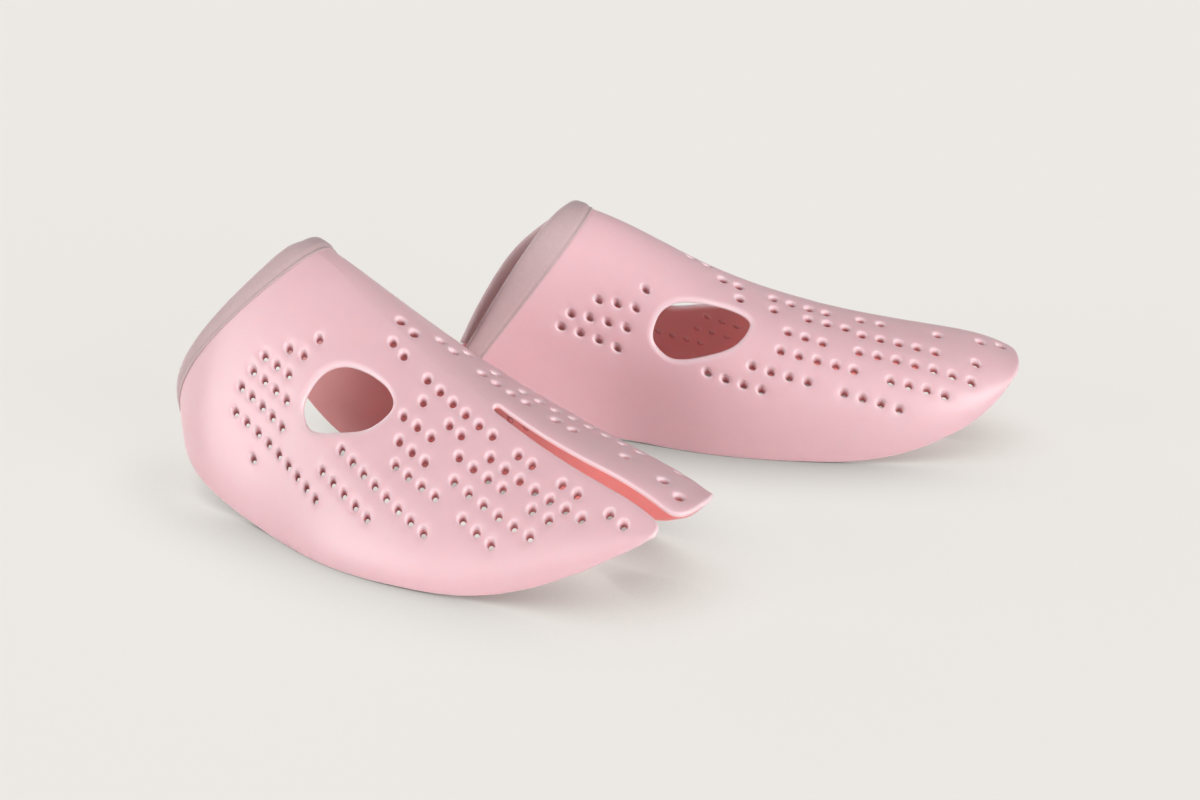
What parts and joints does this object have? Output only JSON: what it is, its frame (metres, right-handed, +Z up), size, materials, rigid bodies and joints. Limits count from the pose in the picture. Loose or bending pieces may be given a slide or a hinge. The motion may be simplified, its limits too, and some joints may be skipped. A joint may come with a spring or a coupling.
{
  "type": "shoe shaper pair",
  "caption": "Pair of perforated plastic vamp shapers: curved half-shells with a finger window each side, a slit flexible toe and a soft collar, which keep a shoe's front from creasing.",
  "frame": {"origin": "centre of the pair's footprint on the floor, as the two shapers stand beside each other at rest", "axes": "+Z up; +X towards the toe ends; +Y from the right-foot shaper in front to the left-foot shaper behind"},
  "size_m": [0.2788, 0.1888, 0.0781],
  "materials": {
    "shell_pink": "satin, slightly translucent pale pink",
    "collar_band": "soft matt grey-mauve"
  },
  "bodies": {
    "right_shaper": {"right_instep_shell": "shell_pink", "right_collar": "collar_band"},
    "right_lateral_leaf": {"right_lateral_toe_leaf": "shell_pink"},
    "right_medial_leaf": {"right_medial_toe_leaf": "shell_pink"},
    "left_shaper": {"left_instep_shell": "shell_pink", "left_collar": "collar_band"},
    "left_lateral_leaf": {"left_lateral_toe_leaf": "shell_pink"},
    "left_medial_leaf": {"left_medial_toe_leaf": "shell_pink"}
  },
  "joints": [
    {"name": "right_lateral_leaf_flex", "type": "hinge", "parent": "right_shaper", "child": "right_lateral_leaf", "pos_m": [-0.02782, -0.04846, 0.04092], "axis": [0.5313, 0.4523, 0.7163], "range_deg": [0, 3.4], "stiffness_Nm_per_rad": 3},
    {"name": "right_medial_leaf_flex", "type": "hinge", "parent": "right_shaper", "child": "right_medial_leaf", "pos_m": [-0.02851, -0.0478, 0.04117], "axis": [0.3749, 0.5425, -0.7518], "range_deg": [0, 3.4], "stiffness_Nm_per_rad": 3},
    {"name": "left_lateral_leaf_flex", "type": "hinge", "parent": "left_shaper", "child": "left_lateral_leaf", "pos_m": [0.07651, 0.0483, 0.04092], "axis": [-0.069, 0.6944, -0.7163], "range_deg": [0, 3.4], "stiffness_Nm_per_rad": 3},
    {"name": "left_medial_leaf_flex", "type": "hinge", "parent": "left_shaper", "child": "left_medial_leaf", "pos_m": [0.07556, 0.0483, 0.04117], "axis": [0.1062, 0.6508, 0.7518], "range_deg": [0, 3.4], "stiffness_Nm_per_rad": 3},
    {"name": "left_shaper_lift", "type": "slide", "parent": "right_shaper", "child": "left_shaper", "axis": [0, 0, 1], "range_m": [0, 0.15]}
  ]
}
